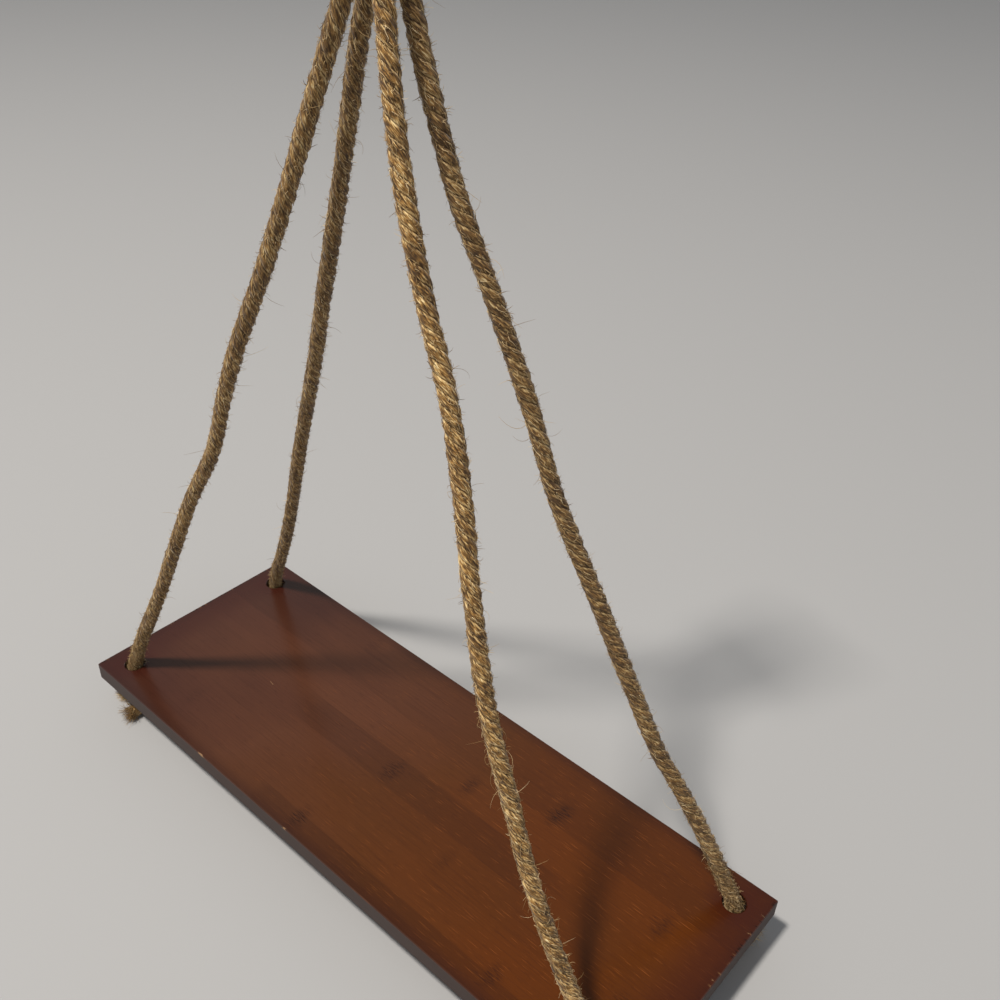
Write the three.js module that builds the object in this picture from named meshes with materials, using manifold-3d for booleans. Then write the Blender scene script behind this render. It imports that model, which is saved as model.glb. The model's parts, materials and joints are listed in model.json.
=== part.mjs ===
// Hanging rope shelf: one lacquered bamboo board carried at its corners by two jute ropes.
// Each rope passes up through one end hole, over the hanging loop and down through the other.
// Under the board it ends in an overhand stopper knot, and under the loop a twine binding gathers it.
// Millimetres, +Z up, +X to the right end, +Y to the back edge, seen from the front.
// The origin is where a hook bears, under the crown of the hanging loop.

import * as THREE from "three";
import { mergeVertices } from "three/addons/utils/BufferGeometryUtils.js";
import Module from "manifold-3d";

const wasm = await Module();
wasm.setup();

// Driving dimensions: the board
const BOARD_LENGTH = 420;
const BOARD_WIDTH = 150;
const BOARD_THICKNESS = 12;
const BOARD_EDGE_BREAK = 0.5;
const BOARD_CORNER_RADIUS = 1;
const HOLE_DIAMETER = 13;
const HOLE_FROM_END = 17;
const HOLE_FROM_SIDE = 17;

// Driving dimensions: the ropes, from the board up to the hook
const ROPE_DIAMETER = 8;
const GATHER_HEIGHT = 448;
const NECK_LENGTH = 30;
const BOUND_LENGTH = 38;
const LOOP_LENGTH = 74;
const LOOP_CROWN_RADIUS = 20;
const LOOP_STRAIGHT_LENGTH = 12;
const LEG_LEAD_IN = 4;

// Driving dimensions: the twine binding and the knots
const TWINE_DIAMETER = 4;
const TWINE_GAP = 0.45;
const BINDING_TURNS = 8;
const KNOT_RING_RADIUS = 9.7;
const KNOT_TUBE_RADIUS = 4.3;
const KNOT_TAIL_LENGTH = 9;
const KNOT_TAIL_SHARES = [0.2, 0.4, 0.4];
const KNOT_LEAD_SHARE = 0.35;
const KNOT_LOBES = 2.3;
const LOBE_ADVANCE = (-4 * Math.PI) / 3;

// Fits
const CLEARANCE = 0.3;
const FLEX_BALL_RADIUS = 12;
const CUT_OVERRUN = 6;

// Facets
const ROPE_SIDES = 10;
const KNOT_SIDES = 8;
const TWINE_SIDES = 6;
const LEG_STEPS = 40;
const LOOP_STEPS = 36;
const LOOP_SIDE_POINTS = 6;
const LOOP_CROWN_POINTS = 4;
const STEPS_PER_LOBE = 24;
const STEPS_PER_TURN = 24;
const HOLE_SEGMENTS = 12;
const BALL_SEGMENTS = 32;
const GAP_SAMPLES_PER_POINT = 8;
const NEIGHBOUR_REACH_SHARE = 2.2;

// Heights of the joints between the stretches of rope, below the hook
const BIND_TOP_Z = -LOOP_LENGTH;
const BIND_BOTTOM_Z = BIND_TOP_Z - BOUND_LENGTH;
const GATHER_Z = BIND_BOTTOM_Z - NECK_LENGTH;
const BOARD_TOP_Z = GATHER_Z - GATHER_HEIGHT;
const BOARD_UNDERSIDE_Z = BOARD_TOP_Z - BOARD_THICKNESS;

// Half the pitch of the square bundle that the four ropes make
const BUNDLE_OFFSET = (ROPE_DIAMETER + CLEARANCE) / 2;
const BUNDLE_RADIUS = BUNDLE_OFFSET * Math.SQRT2 + ROPE_DIAMETER / 2;

// The four corners: which end, which side, and how the stopper knot is turned in plan
const CORNERS = [
  { name: "front_left", end: -1, side: -1, knotTurnDegrees: 152 },
  { name: "back_left", end: -1, side: 1, knotTurnDegrees: 125 },
  { name: "front_right", end: 1, side: -1, knotTurnDegrees: 305 },
  { name: "back_right", end: 1, side: 1, knotTurnDegrees: 50 },
];

// Routes of the four rope legs, from the board's top face up: shares of the hole's distance from
// the middle along and across the board, and of the gather height above the board's top face.
// The left legs are nearly straight; the right ones bow towards the middle and the front.
const LEG_ROUTE_SHARES = {
  front_left: [
    [0.997, 0.997, 0], [0.979, 0.979, 0.022], [0.946, 0.948, 0.056], [0.873, 0.879, 0.121],
    [0.808, 0.81, 0.183], [0.749, 0.759, 0.241], [0.645, 0.655, 0.344], [0.541, 0.552, 0.431],
    [0.482, 0.5, 0.507], [0.42, 0.448, 0.576], [0.326, 0.362, 0.665], [0.241, 0.276, 0.754],
    [0.15, 0.19, 0.853], [0.07, 0.121, 0.938], [0.032, 0.095, 0.982],
  ],
  back_left: [
    [0.997, 0.997, 0], [0.966, 0.969, 0.036], [0.912, 0.926, 0.08], [0.824, 0.853, 0.158],
    [0.756, 0.793, 0.228], [0.658, 0.698, 0.335], [0.557, 0.603, 0.435], [0.472, 0.526, 0.522],
    [0.404, 0.457, 0.598], [0.334, 0.388, 0.67], [0.223, 0.276, 0.788], [0.137, 0.193, 0.888],
    [0.085, 0.145, 0.938], [0.036, 0.1, 0.982],
  ],
  front_right: [
    [0.997, 0.997, 0], [0.953, 1, 0.031], [0.895, 0.993, 0.067], [0.807, 0.974, 0.128],
    [0.72, 0.938, 0.196], [0.646, 0.886, 0.265], [0.549, 0.816, 0.355], [0.456, 0.686, 0.47],
    [0.394, 0.576, 0.558], [0.324, 0.479, 0.643], [0.238, 0.414, 0.723], [0.166, 0.343, 0.801],
    [0.108, 0.255, 0.875], [0.062, 0.159, 0.942], [0.033, 0.1, 0.984],
  ],
  back_right: [
    [0.997, 0.997, 0], [0.964, 0.959, 0.031], [0.925, 0.917, 0.065], [0.868, 0.853, 0.113],
    [0.806, 0.779, 0.16], [0.744, 0.703, 0.204], [0.658, 0.61, 0.283], [0.539, 0.49, 0.397],
    [0.426, 0.372, 0.504], [0.341, 0.309, 0.605], [0.252, 0.228, 0.7], [0.168, 0.152, 0.786],
    [0.106, 0.112, 0.866], [0.057, 0.093, 0.938], [0.032, 0.09, 0.982],
  ],
};

// How far out of its hole's middle the leaning rope comes through the underside
const FOOT_SHARE = 1.005;

// Materials
const bambooLacquer = new THREE.MeshStandardMaterial({ color: 0x5f3624, roughness: 0.35, metalness: 0 });
const juteRope = new THREE.MeshStandardMaterial({ color: 0x9a7448, roughness: 0.95, metalness: 0 });
const juteTwine = new THREE.MeshStandardMaterial({ color: 0xa9855a, roughness: 0.95, metalness: 0 });

// Solids and meshes
function solidOf(geometry) {
  const bare = geometry.clone();
  bare.deleteAttribute("normal");
  bare.deleteAttribute("uv");
  const merged = mergeVertices(bare);
  return new wasm.Manifold(
    new wasm.Mesh({
      numProp: 3,
      vertProperties: new Float32Array(merged.attributes.position.array),
      triVerts: new Uint32Array(merged.index.array),
    }),
  );
}

function geometryOf(solid) {
  const mesh = solid.getMesh();
  const geometry = new THREE.BufferGeometry();
  geometry.setAttribute("position", new THREE.BufferAttribute(new Float32Array(mesh.vertProperties), 3));
  geometry.setIndex(new THREE.BufferAttribute(new Uint32Array(mesh.triVerts), 1));
  geometry.computeVertexNormals();
  return geometry;
}

function namedMesh(name, geometry, material) {
  const mesh = new THREE.Mesh(geometry, material.clone());
  mesh.name = name;
  return mesh;
}

// A tube of even diameter along a curve, closed flat at both ends
function tube(curve, diameter, sides, steps) {
  const section = new THREE.Shape();
  for (let i = 0; i < sides; i += 1) {
    const angle = (2 * Math.PI * i) / sides;
    const x = (diameter / 2) * Math.cos(angle);
    const y = (diameter / 2) * Math.sin(angle);
    if (i === 0) section.moveTo(x, y);
    else section.lineTo(x, y);
  }
  return new THREE.ExtrudeGeometry(section, { steps, bevelEnabled: false, extrudePath: curve });
}

function smoothCurve(points) {
  return new THREE.CatmullRomCurve3(points, false, "centripetal");
}

// What lies outside a ball, from the ball's centre up: it rounds the top of the ropes below
function capCutter(centreZ) {
  const block = new THREE.CylinderGeometry(
    FLEX_BALL_RADIUS + CUT_OVERRUN, FLEX_BALL_RADIUS + CUT_OVERRUN,
    FLEX_BALL_RADIUS + CUT_OVERRUN, BALL_SEGMENTS,
  );
  block.rotateX(Math.PI / 2);
  block.translate(0, 0, centreZ + (FLEX_BALL_RADIUS + CUT_OVERRUN) / 2);
  return solidOf(block).subtract(ball(FLEX_BALL_RADIUS, centreZ));
}

function ball(radius, centreZ) {
  const sphere = new THREE.SphereGeometry(radius, BALL_SEGMENTS, BALL_SEGMENTS / 2);
  sphere.rotateX(Math.PI / 2);
  sphere.translate(0, 0, centreZ);
  return solidOf(sphere);
}

// The board: a glued bamboo panel with four drilled holes and all edges lightly broken
function boardOutline() {
  const halfLength = BOARD_LENGTH / 2;
  const halfWidth = BOARD_WIDTH / 2;
  const r = BOARD_CORNER_RADIUS;
  const outline = new THREE.Shape();
  outline.moveTo(-halfLength + r, -halfWidth);
  outline.lineTo(halfLength - r, -halfWidth);
  outline.absarc(halfLength - r, -halfWidth + r, r, -Math.PI / 2, 0);
  outline.lineTo(halfLength, halfWidth - r);
  outline.absarc(halfLength - r, halfWidth - r, r, 0, Math.PI / 2);
  outline.lineTo(-halfLength + r, halfWidth);
  outline.absarc(-halfLength + r, halfWidth - r, r, Math.PI / 2, Math.PI);
  outline.lineTo(-halfLength, -halfWidth + r);
  outline.absarc(-halfLength + r, -halfWidth + r, r, Math.PI, 1.5 * Math.PI);
  return outline;
}

function holePlace(corner) {
  const x = corner.end * (BOARD_LENGTH / 2 - HOLE_FROM_END);
  const y = corner.side * (BOARD_WIDTH / 2 - HOLE_FROM_SIDE);
  return new THREE.Vector2(x, y);
}

function boardGeometry() {
  const outline = boardOutline();
  for (const corner of CORNERS) {
    const place = holePlace(corner);
    const hole = new THREE.Path();
    hole.absarc(place.x, place.y, HOLE_DIAMETER / 2, 0, 2 * Math.PI, true);
    outline.holes.push(hole);
  }
  const panel = new THREE.ExtrudeGeometry(outline, {
    depth: BOARD_THICKNESS - 2 * BOARD_EDGE_BREAK,
    curveSegments: HOLE_SEGMENTS,
    bevelEnabled: true,
    bevelThickness: BOARD_EDGE_BREAK,
    bevelSize: BOARD_EDGE_BREAK,
    bevelOffset: -BOARD_EDGE_BREAK,
    bevelSegments: 1,
  });
  panel.translate(0, 0, BOARD_UNDERSIDE_Z + BOARD_EDGE_BREAK);
  return panel;
}

// A rope leg: out of its hole, up the route, and into the bundle where the four legs meet
function legPoints(corner) {
  const hole = holePlace(corner);
  const route = LEG_ROUTE_SHARES[corner.name].map(
    ([x, y, height]) => new THREE.Vector3(x * hole.x, y * hole.y, BOARD_TOP_Z + height * GATHER_HEIGHT),
  );
  return [footPlace(corner), ...route];
}

function footPlace(corner) {
  const hole = holePlace(corner);
  return new THREE.Vector3(FOOT_SHARE * hole.x, FOOT_SHARE * hole.y, BOARD_UNDERSIDE_Z);
}

function legCurve(corner) {
  const points = legPoints(corner);
  const below = points[0].clone().sub(points[1]).setLength(CUT_OVERRUN).add(points[0]);
  const parting = bundlePoint(corner, GATHER_Z + LEG_LEAD_IN);
  const top = bundlePoint(corner, GATHER_Z + FLEX_BALL_RADIUS + CUT_OVERRUN / 2);
  return smoothCurve([below, ...points, parting, top]);
}

function bundlePoint(corner, z) {
  return new THREE.Vector3(corner.end * BUNDLE_OFFSET, corner.side * BUNDLE_OFFSET, z);
}

// What lies below the board at a leg's foot, so that the leg ends flush with the underside
function footCutter(corner) {
  const side = 2 * ROPE_DIAMETER;
  const block = new THREE.BoxGeometry(side, side, side);
  const foot = footPlace(corner);
  block.translate(foot.x, foot.y, BOARD_UNDERSIDE_Z - side / 2);
  return solidOf(block);
}

function legGeometry(corner) {
  const leg = solidOf(tube(legCurve(corner), ROPE_DIAMETER, ROPE_SIDES, LEG_STEPS));
  return geometryOf(leg.subtract(capCutter(GATHER_Z)).subtract(footCutter(corner)));
}

// A short straight stretch of one rope in the bundle, hollowed below or rounded above
function strand(corner, fromZ, toZ) {
  const path = new THREE.LineCurve3(bundlePoint(corner, fromZ), bundlePoint(corner, toZ));
  return solidOf(tube(path, ROPE_DIAMETER, ROPE_SIDES, 1));
}

function neckGeometry(corner) {
  const whole = strand(corner, GATHER_Z, BIND_BOTTOM_Z - CLEARANCE);
  return geometryOf(whole.subtract(ball(FLEX_BALL_RADIUS + CLEARANCE, GATHER_Z)));
}

function boundGeometry(corner) {
  const whole = strand(corner, BIND_BOTTOM_Z, BIND_TOP_Z + FLEX_BALL_RADIUS + CUT_OVERRUN / 2);
  return geometryOf(whole.subtract(capCutter(BIND_TOP_Z)));
}

// One rope's bight: up from the binding, round the crown that hangs on the hook, and down again
function bightPoints(side) {
  const y = side * BUNDLE_OFFSET;
  const crownZ = ROPE_DIAMETER / 2 - LOOP_CROWN_RADIUS;
  const shoulderZ = BIND_TOP_Z + LOOP_STRAIGHT_LENGTH;
  const reach = (crownZ - shoulderZ) / 2;
  const rising = new THREE.CubicBezierCurve3(
    new THREE.Vector3(BUNDLE_OFFSET, y, shoulderZ),
    new THREE.Vector3(BUNDLE_OFFSET, y, shoulderZ + reach),
    new THREE.Vector3(LOOP_CROWN_RADIUS, y, crownZ - reach),
    new THREE.Vector3(LOOP_CROWN_RADIUS, y, crownZ),
  );
  const rightHalf = [new THREE.Vector3(BUNDLE_OFFSET, y, BIND_TOP_Z), ...rising.getPoints(LOOP_SIDE_POINTS)];
  for (let i = 1; i <= LOOP_CROWN_POINTS; i += 1) {
    const angle = ((Math.PI / 2) * i) / LOOP_CROWN_POINTS;
    const x = LOOP_CROWN_RADIUS * Math.cos(angle);
    rightHalf.push(new THREE.Vector3(x, y, crownZ + LOOP_CROWN_RADIUS * Math.sin(angle)));
  }
  const leftHalf = rightHalf.slice(0, -1).reverse().map((p) => new THREE.Vector3(-p.x, p.y, p.z));
  return [...rightHalf, ...leftHalf];
}

function loopGeometry(side) {
  const bight = solidOf(tube(smoothCurve(bightPoints(side)), ROPE_DIAMETER, ROPE_SIDES, LOOP_STEPS));
  return geometryOf(bight.subtract(ball(FLEX_BALL_RADIUS + CLEARANCE, BIND_TOP_Z)));
}

// The binding: twine wound round the four ropes in one unbroken coil, both ends running on straight
function bindingPoints() {
  const radius = BUNDLE_RADIUS + CLEARANCE + TWINE_DIAMETER / 2;
  const pitch = TWINE_DIAMETER + TWINE_GAP;
  const bottomZ = BIND_BOTTOM_Z + TWINE_DIAMETER / 2 + CLEARANCE;
  const points = [];
  for (let i = 0; i <= BINDING_TURNS * STEPS_PER_TURN; i += 1) {
    const turn = i / STEPS_PER_TURN;
    const angle = 2 * Math.PI * turn;
    points.push(new THREE.Vector3(radius * Math.cos(angle), radius * Math.sin(angle), bottomZ + pitch * turn));
  }
  return withStraightEnds(points, TWINE_DIAMETER);
}

function withStraightEnds(points, length) {
  const first = points[0].clone().sub(points[1]).setLength(length).add(points[0]);
  const last = points.at(-1).clone().sub(points.at(-2)).setLength(length).add(points.at(-1));
  return [first, ...points, last];
}

function bindingGeometry() {
  const points = bindingPoints();
  return tube(smoothCurve(points), TWINE_DIAMETER, TWINE_SIDES, points.length - 1);
}

// An overhand knot: two lobes and a third of a trefoil laid round a ring, with its tail led away.
// The rope comes down through the middle of the ring and leaves from the underside of it.
function trefoilPoint(lobe) {
  const around = 2 * Math.PI * lobe;
  const radius = KNOT_RING_RADIUS - KNOT_TUBE_RADIUS * Math.cos(around);
  const angle = LOBE_ADVANCE * lobe;
  return new THREE.Vector3(
    radius * Math.cos(angle),
    radius * Math.sin(angle),
    -KNOT_TUBE_RADIUS * Math.sin(around),
  );
}

function knotPoints() {
  const topZ = KNOT_TUBE_RADIUS + ROPE_DIAMETER / 2;
  const entry = trefoilPoint(0);
  const lead = KNOT_LEAD_SHARE * ROPE_DIAMETER;
  const points = [
    new THREE.Vector3(entry.x, lead, topZ),
    new THREE.Vector3(entry.x, lead, topZ - KNOT_TUBE_RADIUS / 2),
  ];
  const count = Math.round(KNOT_LOBES * STEPS_PER_LOBE);
  for (let i = 1; i <= count; i += 1) {
    points.push(trefoilPoint((KNOT_LOBES * i) / count));
  }
  const away = points.at(-1).clone().sub(points.at(-2)).setZ(0).normalize();
  for (const share of KNOT_TAIL_SHARES) {
    const next = points.at(-1).clone().addScaledVector(away, KNOT_TAIL_LENGTH * share);
    points.push(next);
  }
  return points;
}

function knotGeometry(corner) {
  const points = knotPoints();
  const start = points[0].clone();
  const turn = THREE.MathUtils.degToRad(corner.knotTurnDegrees);
  const foot = footPlace(corner);
  const knot = tube(smoothCurve(points), ROPE_DIAMETER, KNOT_SIDES, points.length - 1);
  knot.translate(-start.x, -start.y, -start.z);
  knot.rotateZ(turn);
  knot.translate(foot.x, foot.y, foot.z - CLEARANCE);
  return knot;
}

// The least clear space between turns of one tube that aren't neighbours along it
function leastSelfGap(points, diameter) {
  const path = smoothCurve(points).getSpacedPoints(GAP_SAMPLES_PER_POINT * points.length);
  const along = [0];
  for (let i = 1; i < path.length; i += 1) along.push(along[i - 1] + path[i].distanceTo(path[i - 1]));
  let least = Infinity;
  for (let i = 0; i < path.length; i += 1) {
    for (let j = i + 1; j < path.length; j += 1) {
      const apart = along[j] - along[i] > NEIGHBOUR_REACH_SHARE * diameter;
      if (apart) least = Math.min(least, path[i].distanceTo(path[j]));
    }
  }
  return least - diameter;
}

console.log("binding: least gap to itself", leastSelfGap(bindingPoints(), TWINE_DIAMETER).toFixed(2), "mm");
console.log("knot: least gap to itself", leastSelfGap(knotPoints(), ROPE_DIAMETER).toFixed(2), "mm");

// The shelf, from the board up to the loops
const shelf = new THREE.Group();
shelf.add(namedMesh("bamboo_board", boardGeometry(), bambooLacquer));
for (const corner of CORNERS) {
  shelf.add(namedMesh(`stopper_knot_${corner.name}`, knotGeometry(corner), juteRope));
  shelf.add(namedMesh(`rope_leg_${corner.name}`, legGeometry(corner), juteRope));
  shelf.add(namedMesh(`rope_neck_${corner.name}`, neckGeometry(corner), juteRope));
  shelf.add(namedMesh(`bound_rope_${corner.name}`, boundGeometry(corner), juteRope));
}
shelf.add(namedMesh("twine_binding", bindingGeometry(), juteTwine));
shelf.add(namedMesh("hanging_loop_front", loopGeometry(-1), juteRope));
shelf.add(namedMesh("hanging_loop_back", loopGeometry(1), juteRope));

export default shelf;
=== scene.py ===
import json
import math

import bpy
import numpy as np
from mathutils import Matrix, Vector


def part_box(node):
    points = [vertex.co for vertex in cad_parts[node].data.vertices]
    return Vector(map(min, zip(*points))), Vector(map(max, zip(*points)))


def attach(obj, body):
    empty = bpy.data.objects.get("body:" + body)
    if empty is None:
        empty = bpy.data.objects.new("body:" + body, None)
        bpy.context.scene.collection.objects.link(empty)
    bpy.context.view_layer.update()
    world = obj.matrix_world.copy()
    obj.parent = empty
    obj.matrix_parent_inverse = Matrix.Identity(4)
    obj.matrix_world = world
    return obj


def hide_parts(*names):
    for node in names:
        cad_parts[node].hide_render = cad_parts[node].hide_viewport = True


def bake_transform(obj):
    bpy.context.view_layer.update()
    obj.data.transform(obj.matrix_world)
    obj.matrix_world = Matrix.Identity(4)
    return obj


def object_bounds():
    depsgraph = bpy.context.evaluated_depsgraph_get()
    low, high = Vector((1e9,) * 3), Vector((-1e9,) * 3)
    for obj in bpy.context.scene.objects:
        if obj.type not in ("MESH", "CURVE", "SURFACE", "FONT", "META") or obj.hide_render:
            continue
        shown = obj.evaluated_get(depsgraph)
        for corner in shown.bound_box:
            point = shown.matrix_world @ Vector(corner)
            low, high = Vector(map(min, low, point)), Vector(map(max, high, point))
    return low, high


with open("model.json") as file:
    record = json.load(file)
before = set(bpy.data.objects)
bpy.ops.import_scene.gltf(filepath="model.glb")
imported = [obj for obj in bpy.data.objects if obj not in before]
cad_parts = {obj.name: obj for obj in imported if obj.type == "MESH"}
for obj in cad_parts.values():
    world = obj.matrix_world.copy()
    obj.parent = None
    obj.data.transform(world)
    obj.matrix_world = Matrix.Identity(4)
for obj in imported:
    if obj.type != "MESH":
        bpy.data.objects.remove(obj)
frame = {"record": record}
cad_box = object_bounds()

MM = 0.001

# The rope and twine sizes that the CAD model has too
ROPE_RADIUS = 4.0 * MM
TWINE_RADIUS = 2.0 * MM
CLEARANCE = 0.3 * MM
HOLE_FROM_EDGE = 17 * MM
BUNDLE_OFFSET = ROPE_RADIUS + CLEARANCE / 2
BUNDLE_RADIUS = BUNDLE_OFFSET * math.sqrt(2) + ROPE_RADIUS

# Heights of the three flexing places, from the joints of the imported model
JOINT_HEIGHT = {joint["name"]: joint["pos_m"][2] for joint in frame["record"]["behaviour"]["joints"]}
BIND_TOP_Z = JOINT_HEIGHT["side_swing"]
BIND_BOTTOM_Z = JOINT_HEIGHT["spin"]
GATHER_Z = JOINT_HEIGHT["fore_aft_swing"]

# The board, measured on its node
board_low, board_high = (Vector(corner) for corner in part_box("bamboo_board"))
BOARD_TOP_Z = board_high.z
BOARD_UNDERSIDE_Z = board_low.z
HALF_LENGTH = board_high.x
HALF_WIDTH = board_high.y
HOLE_X = HALF_LENGTH - HOLE_FROM_EDGE
HOLE_Y = HALF_WIDTH - HOLE_FROM_EDGE

# Four corners: end along x, side along y, and the turn of the stopper knot in plan
CORNERS = {
    "front_left": (-1, -1, 152),
    "back_left": (-1, 1, 125),
    "front_right": (1, -1, 305),
    "back_right": (1, 1, 50),
}

# Routes of the legs above the board, as the CAD model has them: shares of the hole's distance
# from the middle along and across the board, and of the height up to the gather
LEG_ROUTE_SHARES = {
    "front_left": [
        (0.997, 0.997, 0), (0.979, 0.979, 0.022), (0.946, 0.948, 0.056), (0.873, 0.879, 0.121),
        (0.808, 0.81, 0.183), (0.749, 0.759, 0.241), (0.645, 0.655, 0.344), (0.541, 0.552, 0.431),
        (0.482, 0.5, 0.507), (0.42, 0.448, 0.576), (0.326, 0.362, 0.665), (0.241, 0.276, 0.754),
        (0.15, 0.19, 0.853), (0.07, 0.121, 0.938), (0.032, 0.095, 0.982),
    ],
    "back_left": [
        (0.997, 0.997, 0), (0.966, 0.969, 0.036), (0.912, 0.926, 0.08), (0.824, 0.853, 0.158),
        (0.756, 0.793, 0.228), (0.658, 0.698, 0.335), (0.557, 0.603, 0.435), (0.472, 0.526, 0.522),
        (0.404, 0.457, 0.598), (0.334, 0.388, 0.67), (0.223, 0.276, 0.788), (0.137, 0.193, 0.888),
        (0.085, 0.145, 0.938), (0.036, 0.1, 0.982),
    ],
    "front_right": [
        (0.997, 0.997, 0), (0.953, 1, 0.031), (0.895, 0.993, 0.067), (0.807, 0.974, 0.128),
        (0.72, 0.938, 0.196), (0.646, 0.886, 0.265), (0.549, 0.816, 0.355), (0.456, 0.686, 0.47),
        (0.394, 0.576, 0.558), (0.324, 0.479, 0.643), (0.238, 0.414, 0.723), (0.166, 0.343, 0.801),
        (0.108, 0.255, 0.875), (0.062, 0.159, 0.942), (0.033, 0.1, 0.984),
    ],
    "back_right": [
        (0.997, 0.997, 0), (0.964, 0.959, 0.031), (0.925, 0.917, 0.065), (0.868, 0.853, 0.113),
        (0.806, 0.779, 0.16), (0.744, 0.703, 0.204), (0.658, 0.61, 0.283), (0.539, 0.49, 0.397),
        (0.426, 0.372, 0.504), (0.341, 0.309, 0.605), (0.252, 0.228, 0.7), (0.168, 0.152, 0.786),
        (0.106, 0.112, 0.866), (0.057, 0.093, 0.938), (0.032, 0.09, 0.982),
    ],
}
FOOT_SHARE = 1.005
LEG_LEAD_IN = 4 * MM
NECK_START_Z = GATHER_Z + 4 * LEG_LEAD_IN

# The knot and the loop, as the CAD model has them
KNOT_RING_RADIUS = 9.7 * MM
KNOT_TUBE_RADIUS = 4.3 * MM
KNOT_TAIL_LENGTH = 9 * MM
KNOT_TAIL_SHARES = (0.2, 0.6, 1)
KNOT_LOBES = 2.3
KNOT_STEPS = 56
LOBE_ADVANCE = -4 * math.pi / 3
KNOT_LEAD_SHARE = 0.35
LOOP_CROWN_RADIUS = 20 * MM
LOOP_CROWN_ANGLES = (22.5, 45, 67.5, 90)
LOOP_STRAIGHT_LENGTH = 12 * MM
LOOP_SHOULDER_STEPS = 7
TWINE_GAP = 0.45 * MM
BINDING_TURNS = 8

# How much of a leg's loose fibre has gathered at its hole, how much darker its rope is drawn, and
# how far its fibres have matted over the strands
FOOT_FUZZ_SHARE = {"front_left": 0.42, "back_left": 0.25, "front_right": 0.25, "back_right": 0.35}
LEG_DARKNESS = {"front_left": 1.0, "back_left": 1.35, "front_right": 0.0, "back_right": 1.3}
MATTED = {"front_left": 1.0, "back_left": 0.6, "front_right": 0.3, "back_right": 0.9}

# Rubbing has matted the rope near its holes and swollen it a little, and less so elsewhere
MATTED_REACH = 24 * MM
MATTED_SHARE_ABOVE = 0.08
MATTED_SHARE_BELOW = 0.4
SWOLLEN_REACH = 12 * MM
SWOLLEN_SHARE = 0.07

# The rope is a little full and uneven, and the look of its left leg turns into that of its right
# leg round the middle of its length
ROPE_FULLNESS = 1.02
UNEVEN_SHARE = 0.04
UNEVEN_LENGTH = 14 * MM
LOOK_CHANGE_START = 0.38
LOOK_CHANGE_SPAN = 0.24

# Heights above the board where fibres have come loose in a tuft, and how many
LOOSE_TUFTS = {
    "front_left": (232 * MM, 10),
    "back_left": (190 * MM, 5),
    "front_right": (143 * MM, 16),
    "back_right": (60 * MM, 5),
}
LOOSE_TUFT_REACH = 9 * MM

# Where the rope's pieces meet, inside the binding and halfway down the neck
BOUND_SEAM_Z = (BIND_TOP_Z + BIND_BOTTOM_Z) / 2
NECK_SEAM_Z = (BIND_BOTTOM_Z + GATHER_Z) / 2

random = np.random.default_rng(7)

# Camera, fitted to the board's corners and edges in the photograph. Its height is above the board.
LENS_MM = 38.32
SENSOR_WIDTH_MM = 36
CAMERA_X = 315.97 * MM
CAMERA_Y = -291.68 * MM
CAMERA_HEIGHT = 495.81 * MM
CAMERA_TURN_DEGREES = (55.127, -1.828, 41.716)


def make_camera():
    camera = bpy.data.objects.new("camera", bpy.data.cameras.new("camera"))
    bpy.context.scene.collection.objects.link(camera)
    camera.data.lens = LENS_MM
    camera.data.sensor_width = SENSOR_WIDTH_MM
    camera.data.clip_start = 0.01
    camera.location = (CAMERA_X, CAMERA_Y, BOARD_TOP_Z + CAMERA_HEIGHT)
    camera.rotation_euler = [math.radians(angle) for angle in CAMERA_TURN_DEGREES]
    bpy.context.scene.camera = camera


make_camera()


# Lines in space
CURVE_STEPS = 24


def unit(vectors):
    return vectors / np.maximum(np.linalg.norm(vectors, axis=-1, keepdims=True), 1e-9)


def eased(share):
    """A share from 0 to 1 that starts and ends gently."""
    return share * share * (3 - 2 * share)


def smooth_line(points, step):
    """Points every step along a centripetal Catmull-Rom curve through points."""
    points = np.asarray(points, float)
    ends = [2 * points[0] - points[1], *points, 2 * points[-1] - points[-2]]
    dense = []
    for p0, p1, p2, p3 in zip(ends, ends[1:], ends[2:], ends[3:]):
        d0, d1, d2 = (math.sqrt(np.linalg.norm(b - a)) for a, b in ((p0, p1), (p1, p2), (p2, p3)))
        t1 = d1 * ((p1 - p0) / d0 - (p2 - p0) / (d0 + d1) + (p2 - p1) / d1)
        t2 = d1 * ((p2 - p1) / d1 - (p3 - p1) / (d1 + d2) + (p3 - p2) / d2)
        for t in np.linspace(0, 1, CURVE_STEPS, endpoint=False):
            cubic = (2 * p1 - 2 * p2 + t1 + t2) * t**3 + (-3 * p1 + 3 * p2 - 2 * t1 - t2) * t**2
            dense.append(cubic + t1 * t + p1)
    dense.append(points[-1])
    return even_line(np.array(dense), step)


def even_line(line, step):
    """The same line with its points an even step apart."""
    along = distance_along(line)
    count = max(2, round(along[-1] / step) + 1)
    wanted = np.linspace(0, along[-1], count)
    return np.stack([np.interp(wanted, along, line[:, axis]) for axis in range(3)], axis=1)


def distance_along(line):
    return np.concatenate([[0], np.cumsum(np.linalg.norm(np.diff(line, axis=0), axis=1))])


def carried_frames(line):
    """Two side directions at each point, carried along the line without twist."""
    forward = unit(np.gradient(line, axis=0))
    side = np.cross([0.0, 1.0, 0.0], forward[0])
    sides = []
    for direction in forward:
        side = unit(side - direction * (side @ direction))
        sides.append(side)
    sides = np.array(sides)
    return sides, np.cross(forward, sides)


# The rope's route
def bundle_point(end, side, z):
    return [end * BUNDLE_OFFSET, side * BUNDLE_OFFSET, z]


def foot_point(corner):
    end, side, _ = CORNERS[corner]
    return [end * FOOT_SHARE * HOLE_X, side * FOOT_SHARE * HOLE_Y, BOARD_UNDERSIDE_Z]


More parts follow.
